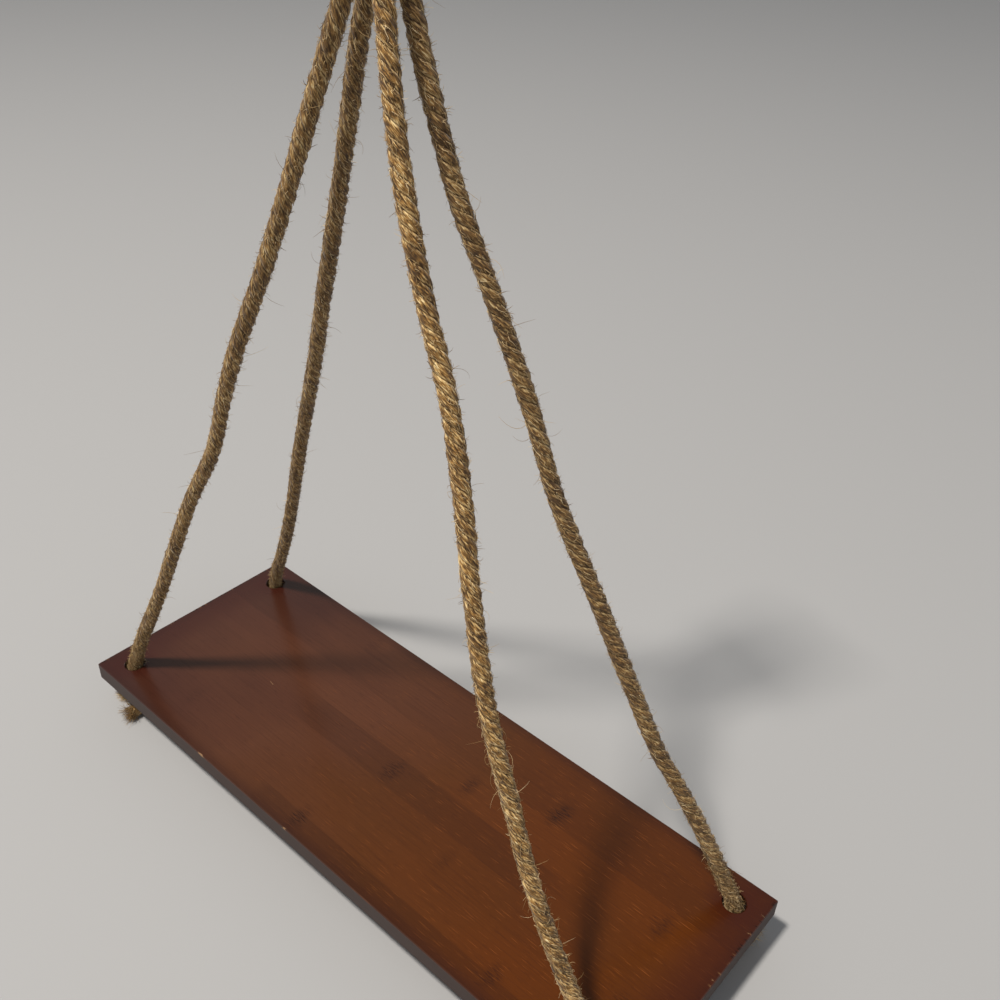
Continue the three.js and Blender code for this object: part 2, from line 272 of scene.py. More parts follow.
def leg_points(corner):
    """From the underside of the board up to the neck."""
    end, side, _ = CORNERS[corner]
    height = GATHER_Z - BOARD_TOP_Z
    route = [
        [end * x * HOLE_X, side * y * HOLE_Y, BOARD_TOP_Z + z * height]
        for x, y, z in LEG_ROUTE_SHARES[corner]
    ]
    upper = [bundle_point(end, side, z) for z in (GATHER_Z + LEG_LEAD_IN, NECK_START_Z)]
    return [foot_point(corner), *route, *upper]


def trefoil_point(lobe):
    around = 2 * math.pi * lobe
    radius = KNOT_RING_RADIUS - KNOT_TUBE_RADIUS * math.cos(around)
    angle = LOBE_ADVANCE * lobe
    return [radius * math.cos(angle), radius * math.sin(angle), -KNOT_TUBE_RADIUS * math.sin(around)]


def knot_points(corner):
    """An overhand knot below the board, from its foot to the end of its tail."""
    top = KNOT_TUBE_RADIUS + ROPE_RADIUS
    lead = KNOT_LEAD_SHARE * 2 * ROPE_RADIUS
    entry = trefoil_point(0)[0]
    points = [[entry, lead, top], [entry, lead, top - KNOT_TUBE_RADIUS / 2]]
    points += [trefoil_point(lobe) for lobe in np.linspace(0, KNOT_LOBES, KNOT_STEPS)[1:]]
    points = np.array(points)
    away = unit((points[-1] - points[-2]) * [1, 1, 0])
    tail = [points[-1] + away * KNOT_TAIL_LENGTH * share for share in KNOT_TAIL_SHARES]
    points = np.array([*points, *tail]) - points[0]
    turn = math.radians(CORNERS[corner][2])
    spun = points.copy()
    spun[:, 0] = points[:, 0] * math.cos(turn) - points[:, 1] * math.sin(turn)
    spun[:, 1] = points[:, 0] * math.sin(turn) + points[:, 1] * math.cos(turn)
    return spun + foot_point(corner) - np.array([0, 0, CLEARANCE])


def bight_points(side):
    """One rope's loop over the hook, from the binding's right side to its left side."""
    y = side * BUNDLE_OFFSET
    crown_z = ROPE_RADIUS - LOOP_CROWN_RADIUS
    shoulder_z = BIND_TOP_Z + LOOP_STRAIGHT_LENGTH
    reach = (crown_z - shoulder_z) / 2
    right = [[BUNDLE_OFFSET, y, BIND_TOP_Z]]
    for t in np.linspace(0, 1, LOOP_SHOULDER_STEPS):
        out = BUNDLE_OFFSET + (LOOP_CROWN_RADIUS - BUNDLE_OFFSET) * eased(t)
        up = shoulder_z + 3 * reach * t * (1 - t) ** 2 + 3 * reach * (1 - t) * t**2 + 2 * reach * t**3
        right.append([out, y, up])
    for angle in np.radians(LOOP_CROWN_ANGLES):
        x = LOOP_CROWN_RADIUS * math.cos(angle)
        right.append([x, y, crown_z + LOOP_CROWN_RADIUS * math.sin(angle)])
    left = [[-x, y, z] for x, y, z in right[-2::-1]]
    return right + left


# Geometry of a laid rope. Depths are shares of its radius, and a grain is a lump's width and
# length with its weight.
ROPE_LAY = 19.2 * MM
TWINE_LAY = 9 * MM
RING_STEP = 0.65 * MM
STRAND_COLUMNS = 24
TWINE_COLUMNS = 8
GROOVE_SHARE = 0.78
GROOVE_SHARPNESS = 0.5
SWELL_SHARE = 0.03
SWELL_LENGTH = 9 * MM
STRAND_SWELL_SHIFT = 7.3
YARN_WIDTH_SHARE = 0.3
YARN_DEPTH_SHARE = 0.02
YARN_MIDDLE = 0.6
YARN_SWAY = 0.3
YARN_SWAY_LENGTH = 6 * MM
GRAIN_DEPTH_SHARE = 0.055
GRAINS = ((1.1 * MM, 5 * MM, 0.6), (0.5 * MM, 3 * MM, 0.4))
MATTED_LEVEL = 0.97
MATTED_FILL = 0.8
MATTED_SMOOTHING = 0.5
STRAND_SHIFT = 31 * MM
FIBRE_SLANT = math.radians(32)
WAVE_TABLE = 257


def petal(angle):
    """Outline of one strand seen along the rope, as a share of the rope's radius."""
    return GROOVE_SHARE + (1 - GROOVE_SHARE) * np.maximum(np.cos(1.5 * angle), 0) ** GROOVE_SHARPNESS


def wavy(u, v, seed):
    """Smooth random values from -1 to 1 over a plane, with about one swelling per unit."""
    table = np.random.default_rng(seed).uniform(-1, 1, (WAVE_TABLE, WAVE_TABLE))
    iu, iv = np.floor(u).astype(int), np.floor(v).astype(int)
    fu, fv = eased(u - iu), eased(v - iv)
    low_u, high_u = iu % WAVE_TABLE, (iu + 1) % WAVE_TABLE
    low_v, high_v = iv % WAVE_TABLE, (iv + 1) % WAVE_TABLE
    near = table[low_u, low_v] * (1 - fu) + table[high_u, low_v] * fu
    far = table[low_u, high_v] * (1 - fu) + table[high_u, high_v] * fu
    return near * (1 - fv) + far * fv


class Rope:
    """A three-strand rope of S lay on a line: its centre, frames, radii and strand turns."""

    def __init__(self, line, radius, lay, seed):
        self.line = line
        self.along = distance_along(line)
        self.radius = radius
        self.lay = lay
        self.seed = seed
        self.side, self.up = carried_frames(line)
        self.turn = -2 * math.pi * self.along / lay
        self.worn = np.zeros(len(line))
        self.matted = np.zeros(len(line))

    def cut(self, a, b):
        """The part of the rope between two of its points, with its lay carried on."""
        piece = object.__new__(Rope)
        piece.lay, piece.seed = self.lay, self.seed
        for name in ("line", "along", "radius", "side", "up", "turn", "worn", "matted"):
            setattr(piece, name, getattr(self, name)[min(a, b) : max(a, b) + 1])
        return piece

    def index_at_height(self, z, first, last):
        heights = self.line[first : last + 1, 2]
        return first + int(np.argmin(np.abs(heights - z)))

    def fibre_drift(self):
        """How fast the fibres cross their strand, for each length along the rope."""
        return 2 * math.pi * np.mean(self.radius) / self.lay - math.tan(FIBRE_SLANT)

    def surface(self, place, around, lift=0.0, bridge=0.0):
        """Points at fractional ring places and angles round the rope, and the directions outwards.

        Lift raises the points, and bridge is the share of the radius that they stay above.
        """
        place = np.clip(place, 0, len(self.line) - 1.001)
        low = place.astype(int)
        share = (place - low)[:, None]

        def mixed(values):
            return values[low] * (1 - share) + values[low + 1] * share

        turn = self.turn[low] + (self.turn[low + 1] - self.turn[low]) * share[:, 0]
        radius = self.radius[low] * (1 - share[:, 0]) + self.radius[low + 1] * share[:, 0]
        within = (around - turn + math.pi / 3) % (2 * math.pi / 3) - math.pi / 3
        out = np.maximum(petal(within), bridge) * radius + lift
        direction = mixed(self.side) * np.cos(around)[:, None] + mixed(self.up) * np.sin(around)[:, None]
        return mixed(self.line) + direction * out[:, None], direction


def rope_profile(rope, within, strand):
    """The radius of every point round every ring: strands, yarns and matted fibres."""
    size = np.mean(rope.radius)
    across = within[None, :] * size - rope.fibre_drift() * rope.along[:, None]
    across = across + strand[None, :] * STRAND_SHIFT
    along = rope.along[:, None] + np.zeros_like(across)
    yarn = across / (YARN_WIDTH_SHARE * size)
    yarn = yarn + YARN_SWAY * wavy(yarn, along / YARN_SWAY_LENGTH, rope.seed)
    ridges = np.abs(np.sin(math.pi * yarn)) - YARN_MIDDLE
    swell = wavy(strand[None, :] * STRAND_SWELL_SHIFT + 0 * along, along / SWELL_LENGTH, rope.seed + 1)
    shape = petal(within)[None, :] * (1 + SWELL_SHARE * swell) + YARN_DEPTH_SHARE * ridges
    matted = rope.matted[:, None]
    shape = shape + np.maximum(MATTED_LEVEL - shape, 0) * MATTED_FILL * matted
    grain = sum(
        weight * wavy(across / width, along / length, rope.seed + number)
        for number, (width, length, weight) in enumerate(GRAINS, 2)
    )
    return (shape + GRAIN_DEPTH_SHARE * (1 - MATTED_SMOOTHING * matted) * grain) * rope.radius[:, None]


def rope_mesh(name, rope, material, per_strand=STRAND_COLUMNS):
    """A closed mesh of the three strands with their yarns, and a UV map that follows the fibres."""
    rings, columns = len(rope.line), 3 * per_strand
    share = np.arange(columns) % per_strand / per_strand
    strand = np.arange(columns) // per_strand
    within = (share * 2 - 1) * math.pi / 3
    angle = rope.turn[:, None] + within[None, :] + strand[None, :] * 2 * math.pi / 3
    radius = rope_profile(rope, within, strand)
    points = (
        rope.line[:, None, :]
        + rope.side[:, None, :] * (np.cos(angle) * radius)[..., None]
        + rope.up[:, None, :] * (np.sin(angle) * radius)[..., None]
    ).reshape(-1, 3)
    ring = np.arange(rings - 1)[:, None] * columns
    column = np.arange(columns)[None, :]
    following = (column + 1) % columns
    upper = ring + columns
    quads = np.stack([ring + column, ring + following, upper + following, upper + column], axis=-1)
    first_cap = list(range(columns))[::-1]
    last_cap = list(range((rings - 1) * columns, rings * columns))
    mesh = bpy.data.meshes.new(name)
    mesh.from_pydata(points.tolist(), [], quads.reshape(-1, 4).tolist() + [first_cap, last_cap])
    layer = mesh.uv_layers.new(name="fibre")
    layer.data.foreach_set("uv", fibre_map(rope, share, strand, within, per_strand))
    depth = 1 - (petal(within) - GROOVE_SHARE) / (1 - GROOVE_SHARE)
    keep_on_points(mesh, "hollow", np.tile(depth, rings))
    keep_on_points(mesh, "worn", np.repeat(rope.worn, columns))
    keep_on_points(mesh, "matted", np.repeat(rope.matted, columns))
    return finished(name, mesh, material)


def fibre_map(rope, share, strand, within, per_strand):
    """UV coordinates for every face corner: across the fibres and along them, in centimetres."""
    rings, columns = len(rope.line), len(share)
    size = np.mean(rope.radius)
    next_edge = (share + 1 / per_strand) * 2 * math.pi / 3 - math.pi / 3
    flat = np.zeros((rings - 1, columns, 4, 2))
    for corner, (ring_step, edge) in enumerate(((0, within), (0, next_edge), (1, next_edge), (1, within))):
        along = rope.along[ring_step : rings - 1 + ring_step, None]
        across = edge[None, :] * size - rope.fibre_drift() * along
        flat[:, :, corner, 0] = across + strand[None, :] * STRAND_SHIFT
        flat[:, :, corner, 1] = along
    caps = np.zeros((2 * columns, 2))
    return np.concatenate([flat.reshape(-1, 2) / (10 * MM), caps]).astype(np.float32).ravel()


def keep_on_points(mesh, name, values):
    """Stores one value per point of a mesh, for its material to read."""
    attribute = mesh.attributes.new(name, "FLOAT", "POINT")
    attribute.data.foreach_set("value", values.astype(np.float32))


def finished(name, mesh, material):
    mesh.shade_smooth()
    mesh.update()
    mesh.validate()
    mesh.materials.append(material)
    piece = bpy.data.objects.new(name, mesh)
    bpy.context.scene.collection.objects.link(piece)
    return piece


# Fibres that leave or cross a rope. Each kind has its own lengths and widths. Real jute fibre is
# about 0.05 mm thick, and is drawn up to 0.3 mm thick so that it shows.
FIBRE_SIDES = 3
HAIR_TAPER = 0.75
LOWEST_FIBRE_Z = cad_box[0][2] + 0.2 * MM
FOOT_FUZZ_LENGTH = 20 * MM
TUCKED_IN = 0.3 * MM
SHORT_HAIR_BIAS = 2.2
HAIR_LEAN = 0.9
HAIR_RISE = (0.5, 1.4)
HAIR_SCATTER = 0.35
BRIDGED_SHARE = 0.9
SLANT_SCATTER = 0.25
LYING_LIFT = 0.2 * MM
END_LIFT = 0.7 * MM
BOWED_LENGTHS = (5 * MM, 15 * MM)
BOWED_HEIGHTS = (0.3 * MM, 3.2 * MM)
PULLED_LENGTHS = (4 * MM, 9.5 * MM)
PULLED_REACH = 2 * MM
FRAYED_LENGTHS = (3 * MM, 9 * MM)
FRAYED_DEPTH = 5 * MM


def hair_mesh(name, lines, thickness, tones=(0, 1)):
    """Thin three-sided tapering fibres along lines, an array of fibres by points by 3."""
    count, steps, _ = lines.shape
    forward = unit(np.gradient(lines, axis=1))
    aside = unit(np.cross(forward, random.normal(size=(count, 1, 3))))
    other = np.cross(forward, aside)
    taper = (1 - HAIR_TAPER * np.linspace(0, 1, steps) ** 2)[None, :, None] * thickness[:, None, None] / 2
    rings = [
        lines + taper * (aside * math.cos(angle) + other * math.sin(angle))
        for angle in (0, 2 * math.pi / 3, 4 * math.pi / 3)
    ]
    points = np.stack(rings, axis=2).reshape(-1, 3)
    base = np.arange(count)[:, None, None] * steps + np.arange(steps - 1)[None, :, None]
    base = base * FIBRE_SIDES
    column = np.arange(FIBRE_SIDES)[None, None, :]
    following = (column + 1) % FIBRE_SIDES
    upper = base + FIBRE_SIDES
    quads = np.stack([base + column, base + following, upper + following, upper + column], axis=-1)
    start = np.arange(count)[:, None] * steps * FIBRE_SIDES
    caps = np.concatenate([start + [2, 1, 0], start + (steps - 1) * FIBRE_SIDES + [0, 1, 2]])
    mesh = bpy.data.meshes.new(name)
    mesh.from_pydata(points.tolist(), [], quads.reshape(-1, 4).tolist() + caps.tolist())
    shades = random.uniform(*tones, count)
    keep_on_points(mesh, "tone", np.repeat(shades, steps * FIBRE_SIDES))
    return finished(name, mesh, loose_fibre)


def ring_places(rope, count, at_foot):
    """Places along the rope, a share of them crowded towards its lower end."""
    place = random.uniform(0, len(rope.line) - 1, count)
    crowded = random.random(count) < at_foot
    from_end = random.exponential(FOOT_FUZZ_LENGTH / RING_STEP, count)
    if rope.line[0][2] > rope.line[-1][2]:
        from_end = len(rope.line) - 1 - from_end
    return np.clip(np.where(crowded, from_end, place), 0, len(rope.line) - 1)


def grown_lines(root, heading, turn, length, steps):
    """Lines that grow from their roots and bend by the same turn at each step."""
    points = [root]
    for _ in range(steps - 1):
        heading = unit(heading)
        points.append(points[-1] + heading * length[:, None] / (steps - 1))
        heading = heading + turn
    return np.stack(points, axis=1)


def standing_hairs(rope, count, lengths, at_foot=0.0, curl=0.9, steps=4):
    """Fibre ends that stand off the rope and curl away."""
    shortest, longest = lengths
    place = ring_places(rope, count, at_foot)
    root, out = rope.surface(place, random.uniform(0, 2 * math.pi, count), -TUCKED_IN)
    low = np.clip(place.astype(int), 0, len(rope.line) - 2)
    forward = unit(rope.line[low + 1] - rope.line[low])
    length = shortest + (longest - shortest) * random.random(count) ** SHORT_HAIR_BIAS
    lean = random.normal(0, HAIR_LEAN, (count, 1)) * forward
    rise = out * random.uniform(*HAIR_RISE, (count, 1))
    heading = rise + lean + random.normal(0, HAIR_SCATTER, (count, 3))
    turn = random.normal(0, curl, (count, 3)) * 3 / steps
    return grown_lines(root, heading, turn, length, steps)


def lying_fibres(rope, count, lengths, at_foot=0.0):
    """Loose fibres that lie on the rope across its strands."""
    length = random.uniform(*lengths, count)
    slant = random.normal(-FIBRE_SLANT, SLANT_SCATTER, count)
    place = ring_places(rope, count, at_foot)
    around = random.uniform(0, 2 * math.pi, count)
    size = np.mean(rope.radius)
    end_lift = END_LIFT * random.random(count) ** 3
    lines = []
    for t in np.linspace(-0.5, 0.5, 5):
        turned = around + (np.sin(slant) * length * t) / size + 0.1 * np.sin(t * 9 + around * 5)
        ring = place + np.cos(slant) * length * t / RING_STEP
        lift = LYING_LIFT + end_lift * (2 * abs(t)) ** 3
        lines.append(rope.surface(ring, turned, lift, BRIDGED_SHARE)[0])
    return np.stack(lines, axis=1)


def bowed_fibres(rope, count, middle, reach):
    """Fibres held at both ends that bow out of the rope, crowded round one of its rings."""
    place = middle + random.normal(0, reach / RING_STEP, count)
    around = random.uniform(0, 2 * math.pi, count)
    length = random.uniform(*BOWED_LENGTHS, count)
    bow = random.uniform(*BOWED_HEIGHTS, count)
    sweep = random.normal(0, 0.6, count)
    lines = []
    for t in np.linspace(-1, 1, 9):
        ring = place + length * t / 2 / RING_STEP
        lines.append(rope.surface(ring, around + sweep * t, bow * (1 - t**2), BRIDGED_SHARE)[0])
    return np.stack(lines, axis=1)


def pulled_fibres(knot, corner, count):
    """A tuft of long soft fibres pulled out of the knot's outer bend, hanging outwards."""
    end, side, _ = CORNERS[corner]
    outermost = int(np.argmax(knot.line @ [end, side, -1]))
    place = outermost + random.normal(0, PULLED_REACH / RING_STEP, count)
    outwards = np.array([0.45 * end, side, -0.6])
    facing = math.atan2(outwards @ knot.up[outermost], outwards @ knot.side[outermost])
    root, out = knot.surface(place, facing + random.normal(0, 0.5, count), -0.5 * MM)
    heading = outwards + 0.5 * out + random.normal(0, 0.4, (count, 3))
    turn = random.normal(0, 0.3, (count, 3))
    return grown_lines(root, heading, turn, random.uniform(*PULLED_LENGTHS, count), 5)


def frayed_fibres(rope, count):
    """The fibres of a cut rope end, spreading from the last rings into a soft brush."""
    tip_first = rope.line[0][2] < rope.line[-1][2]
    place = 1 + random.uniform(0, FRAYED_DEPTH / RING_STEP, count)
    if not tip_first:
        place = len(rope.line) - 1 - place
    root, out = rope.surface(place, random.uniform(0, 2 * math.pi, count), -0.6 * MM)
    outwards = unit(rope.line[0] - rope.line[3] if tip_first else rope.line[-1] - rope.line[-4])
    heading = outwards + out * random.uniform(0, 0.45, (count, 1)) + random.normal(0, 0.14, (count, 3))
    turn = random.normal(0, 0.2, (count, 3)) - [0, 0, 0.05]
    return grown_lines(root, heading, turn, random.uniform(*FRAYED_LENGTHS, count), 6)


def add_fibres(name, lines, widths, tones):
    """A piece of loose fibres, widths in millimetres, none lower than the shelf may reach."""
    thickness = random.uniform(*widths, len(lines)) * MM
    lines[..., 2] = np.maximum(lines[..., 2], LOWEST_FIBRE_Z)
    return hair_mesh(name, lines, thickness, tones)


# Materials
def linear(hex_colour):
    """A colour written as sRGB hex, as the linear values that a shader takes."""
    parts = [((hex_colour >> shift) & 255) / 255 for shift in (16, 8, 0)]
    return [*(c / 12.92 if c <= 0.04045 else ((c + 0.055) / 1.055) ** 2.4 for c in parts), 1]


def new_material(name):
    material = bpy.data.materials.new(name)
    material.use_nodes = True
    material.node_tree.nodes.clear()
    return material, material.node_tree


def add(tree, kind, inputs=(), stops=(), **settings):
    """Adds one node: its settings, its inputs in order or by name, and the stops of a colour ramp."""
    made = tree.nodes.new(kind)
    for name, value in settings.items():
        setattr(made, name, value)
    usable = [socket for socket in made.inputs if socket.enabled]
    for key, value in inputs.items() if isinstance(inputs, dict) else zip(usable, inputs):
        socket = made.inputs[key] if isinstance(key, str) else key
        if isinstance(value, bpy.types.Node):
            value = next(output for output in value.outputs if output.enabled)
        if isinstance(value, bpy.types.NodeSocket):
            tree.links.new(value, socket)
        else:
            socket.default_value = value
    while stops and len(made.color_ramp.elements) < len(stops):
        made.color_ramp.elements.new(0.5)
    for number, (position, colour) in enumerate(stops):
        made.color_ramp.elements[number].position = position
        made.color_ramp.elements[number].color = linear(colour)
    return made


NOISE = "ShaderNodeTexNoise"
MAPPING = "ShaderNodeMapping"
MATHS = "ShaderNodeMath"
VECTOR_MATHS = "ShaderNodeVectorMath"
MAP_RANGE = "ShaderNodeMapRange"
MIX = "ShaderNodeMix"
RAMP = "ShaderNodeValToRGB"
PRINCIPLED = "ShaderNodeBsdfPrincipled"
OUTPUT = "ShaderNodeOutputMaterial"
SMOOTH = {"interpolation_type": "SMOOTHSTEP"}
TIMES = {"operation": "MULTIPLY"}
TIMES_PLUS = {"operation": "MULTIPLY_ADD"}
COLOURS = {"data_type": "RGBA"}

# Patterns on the rope's fibre map: width and length of a streak in millimetres, detail, and weight
ROPE_STREAKS = ((0.5, 2.8, 2, 0.42), (1.0, 3.6, 1, 0.3), (2.2, 14, 1, 0.13))
TWINE_STREAKS = ((0.36, 2.4, 2, 0.42), (0.8, 3.2, 1, 0.3), (1.6, 14, 1, 0.13))
JUTE_STOPS = (
    (0.41, 0x3F2A13), (0.46, 0x5F4321), (0.5, 0x815F2E), (0.54, 0xA67C42), (0.58, 0xD8B474), (0.622, 0xFAE6B4)
)
TWINE_STOPS = ((0.4, 0x4C3A22), (0.47, 0x7A6038), (0.54, 0xA88A5A), (0.61, 0xD8C298), (0.66, 0xF0E2C2))
FIBRE_STOPS = ((0.0, 0x3E2C18), (0.4, 0x7C5E36), (0.7, 0xBA9A66), (1.0, 0xF2DCB0))
# Painted highlight along each strand's rim, and painted shade in the grooves between strands
RIM_HIGHLIGHT = 0xF2D8A0
GROOVE_SHADE = 0x2E2011
MATTED_JUTE = 0x95774E
DARKER_JUTE = 0x382819


# Jute: dry bast fibre, laid in three strands. Matt, straw to brown, with pale single fibres that
# catch the light. The real fibres, about 0.05 mm, are drawn 0.5 mm wide so that they show.
def jute_material(name, streaks, stops):
    material, tree = new_material(name)
    fibre = add(tree, "ShaderNodeUVMap", uv_map="fibre")
    place = add(tree, "ShaderNodeTexCoord").outputs["Object"]
    cloud = add(tree, NOISE, {"Vector": place, "Scale": 60.0, "Detail": 2.0})
    tone = add(tree, MATHS, [cloud, 0.15], **TIMES)
    height = tone
    for width, length, detail, weight in streaks:
        stretched = add(tree, MAPPING, {"Vector": fibre, "Scale": (10 / width, 10 / length, 1)})
        streak = add(tree, NOISE, {"Vector": stretched, "Scale": 1.0, "Detail": detail})
        tone = add(tree, MATHS, [streak, weight, tone], **TIMES_PLUS)
        height = add(tree, MATHS, [streak, 1 - weight, height], **TIMES_PLUS)
    colour = add(tree, RAMP, [tone], stops)

    # A painted highlight of pale fibres along the rim of each strand, and painted shade in the grooves
    # between them
    hollow = add(tree, "ShaderNodeAttribute", attribute_name="hollow").outputs["Fac"]
    rise = add(tree, MAP_RANGE, [hollow, 0.12, 0.4, 0.0, 0.42], **SMOOTH)
    fall = add(tree, MAP_RANGE, [hollow, 0.45, 0.75, 1.0, 0.0], **SMOOTH)
    rim_highlight = add(tree, MATHS, [rise, fall], **TIMES)
    rim_highlight = add(tree, MATHS, [rim_highlight, add(tree, MAP_RANGE, [tone, 0.44, 0.54], **SMOOTH)], **TIMES)
    colour = add(tree, MIX, [rim_highlight, colour, linear(RIM_HIGHLIGHT)], **COLOURS)
    shade = add(tree, MAP_RANGE, [hollow, 0.5, 0.95, 0.0, 0.55], **SMOOTH)
    colour = add(tree, MIX, [shade, colour, linear(GROOVE_SHADE)], **COLOURS)

    # An even felt where the rope is matted, and a darker tone on the legs that are set darker
    for look, depth, tint in (("matted", 0.8, MATTED_JUTE), ("worn", 0.3, DARKER_JUTE)):
        amount = add(tree, "ShaderNodeAttribute", attribute_name=look).outputs["Fac"]
        cover = add(tree, MATHS, [amount, depth], **TIMES)
        colour = add(tree, MIX, [cover, colour, linear(tint)], **COLOURS)
    bump = add(tree, "ShaderNodeBump", {"Height": height, "Strength": 0.9, "Distance": 0.5 * MM})
    finish = {
        "Base Color": colour,
        "Normal": bump,
        "Roughness": 0.8,
        "IOR": 1.4,
        "Sheen Weight": 0.2,
        "Sheen Roughness": 0.5,
    }
    add(tree, OUTPUT, [add(tree, PRINCIPLED, finish)])
    return material


# Loose jute fibres: single hairs, from dark brown to pale straw
def fibre_material():
    material, tree = new_material("loose_jute_fibre")
    tone = add(tree, "ShaderNodeAttribute", attribute_name="tone").outputs["Fac"]
    colour = add(tree, RAMP, [tone], FIBRE_STOPS)
    finish = {"Base Color": colour, "Roughness": 0.65, "IOR": 1.45}
    add(tree, OUTPUT, [add(tree, PRINCIPLED, finish)])
    return material


jute = jute_material("laid_jute_rope", ROPE_STREAKS, JUTE_STOPS)
twine_jute = jute_material("jute_binding_twine", TWINE_STREAKS, TWINE_STOPS)
loose_fibre = fibre_material()


# The two ropes, each whole from tail to tail, then cut where the shelf flexes
def whole_rope(side_name, side, seed):
    left, right = f"{side_name}_left", f"{side_name}_right"
    neck = [bundle_point(-1, side, z) for z in np.linspace(NECK_START_Z, BIND_TOP_Z, 5)]
    left_knot = knot_points(left)[::-1]
    left_part = [*left_knot, *leg_points(left), *neck[1:]]
    bight = bight_points(side)[::-1]
    right_neck = [[-x, y, z] for x, y, z in neck[::-1]]
    right_part = [*right_neck[1:-1], *leg_points(right)[::-1], *knot_points(right)]
    line = smooth_line([*left_part, *bight[1:], *right_part], RING_STEP)
    along = distance_along(line)
    share = eased(np.clip((along / along[-1] - LOOK_CHANGE_START) / LOOK_CHANGE_SPAN, 0, 1))
    matted = MATTED[left] + (MATTED[right] - MATTED[left]) * share
    below = line[:, 2] < BOARD_UNDERSIDE_Z
    height = np.maximum(line[:, 2] - BOARD_TOP_Z, 0)
    swollen = np.where(below, 0, matted * np.exp(-height / SWOLLEN_REACH))
    radius = ROPE_RADIUS * (ROPE_FULLNESS + UNEVEN_SHARE * wavy(along / UNEVEN_LENGTH, 0 * along, seed + 9))
    rope = Rope(line, radius * (1 + SWOLLEN_SHARE * swollen), ROPE_LAY, seed)
    rope.worn = LEG_DARKNESS[left] + (LEG_DARKNESS[right] - LEG_DARKNESS[left]) * share
    near_board = np.where(below, MATTED_SHARE_BELOW, np.exp(-height / MATTED_REACH))
    rope.matted = matted * (MATTED_SHARE_ABOVE + (1 - MATTED_SHARE_ABOVE) * near_board)
    return rope


def rope_marks(rope):
    """Ring numbers of each end's tail, its foot under the board, and its neck and binding seams."""
    last = len(rope.line) - 1
    middle = int(np.argmax(rope.line[:, 2]))
    below = np.nonzero(rope.line[:, 2] < BOARD_UNDERSIDE_Z - CLEARANCE / 2)[0]
    seams = [
        [rope.index_at_height(z, first, end) for z in (NECK_SEAM_Z, BOUND_SEAM_Z)]
        for first, end in ((0, middle), (middle, last))
    ]
    return {
        "left": (0, int(below[below < middle].max()), *seams[0]),
        "right": (last, int(below[below > middle].min()), *seams[1]),
    }


# How hairy each stretch of rope is, and how many long hairs it has
HAIRINESS = {"leg": (1.0, 60), "knot": (1.2, 20), "bundle": (0.7, 3), "loop": (0.8, 14)}
FUZZ_PER_MM = 5.5
ENDS_PER_MM = 1.8
FIBRES_PER_MM = 5
FUZZ_LENGTHS = (0.8 * MM, 4 * MM)
HAIR_LENGTHS = (5 * MM, 15 * MM)
ENDS_LENGTHS = (1.2 * MM, 4.5 * MM)
LYING_LENGTHS = (2 * MM, 8 * MM)
FRAYED_COUNT = 420
PULLED_COUNT = 320


def dress(rope, stretch, place, at_foot=0.0, tuft=None):
    """Loose fibres on a stretch of rope: short fuzz, broken ends, long hairs and lying fibres."""
    hairiness, long_hairs = HAIRINESS[stretch]
    length_mm = (rope.along[-1] - rope.along[0]) / MM
    fuzz = standing_hairs(rope, int(length_mm * FUZZ_PER_MM * hairiness), FUZZ_LENGTHS, at_foot)
    hairs = standing_hairs(rope, long_hairs, HAIR_LENGTHS, curl=0.5, steps=7)
    ends = standing_hairs(rope, int(length_mm * ENDS_PER_MM * hairiness), ENDS_LENGTHS, curl=0.8)
    lying = lying_fibres(rope, int(length_mm * FIBRES_PER_MM * hairiness), LYING_LENGTHS, at_foot)
    # Each kind's lines, thinnest and thickest in millimetres, and darkest and palest tone
    kinds = [
        ("fuzz", fuzz, (0.15, 0.25), (0.25, 0.9)),
        ("ends", ends, (0.18, 0.3), (0.2, 1)),
        ("hairs", hairs, (0.15, 0.23), (0.3, 1)),
        ("fibres", lying, (0.14, 0.3), (0.05, 1)),
    ]
    if tuft is not None:
        kinds.append(("tuft", tuft, (0.15, 0.24), (0.5, 1)))
    return [
        add_fibres(f"{stretch}_{place}_{kind}", lines, widths, tones)
        for kind, lines, widths, tones in kinds
    ]


def bend(piece):
    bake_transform(piece)


def lay_knot(knot, corner):
    piece = rope_mesh(f"knotted_rope_{corner}", knot, jute)
    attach(piece, "shelf")
    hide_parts(f"stopper_knot_{corner}")
    return piece


def lay_leg(leg, corner):
    piece = rope_mesh(f"laid_rope_{corner}", leg, jute)
    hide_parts(f"rope_leg_{corner}")
    height, count = LOOSE_TUFTS[corner]
    middle = leg.index_at_height(BOARD_TOP_Z + height, 0, len(leg.line) - 1)
    tuft = bowed_fibres(leg, count, middle, LOOSE_TUFT_REACH)
    for part in [piece, *dress(leg, "leg", corner, FOOT_FUZZ_SHARE[corner], tuft)]:
        bend(part)
    return piece


def fray_knot(knot, corner):
    tail = add_fibres(f"frayed_tail_{corner}", frayed_fibres(knot, FRAYED_COUNT), (0.14, 0.26), (0, 0.75))
    tuft = pulled_fibres(knot, corner, PULLED_COUNT)
    for part in [tail, *dress(knot, "knot", corner, tuft=tuft)]:
        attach(part, "shelf")


def lay_neck(neck, corner):
    piece = rope_mesh(f"bundled_rope_{corner}", neck, jute)
    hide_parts(f"rope_neck_{corner}", f"bound_rope_{corner}")
    for part in [piece, *dress(neck, "bundle", corner)]:
        bend(part)


def lay_loop(loop, side_name):
    piece = rope_mesh(f"looped_rope_{side_name}", loop, jute)
    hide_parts(f"hanging_loop_{side_name}")
    for part in [piece, *dress(loop, "loop", side_name)]:
        bend(part)


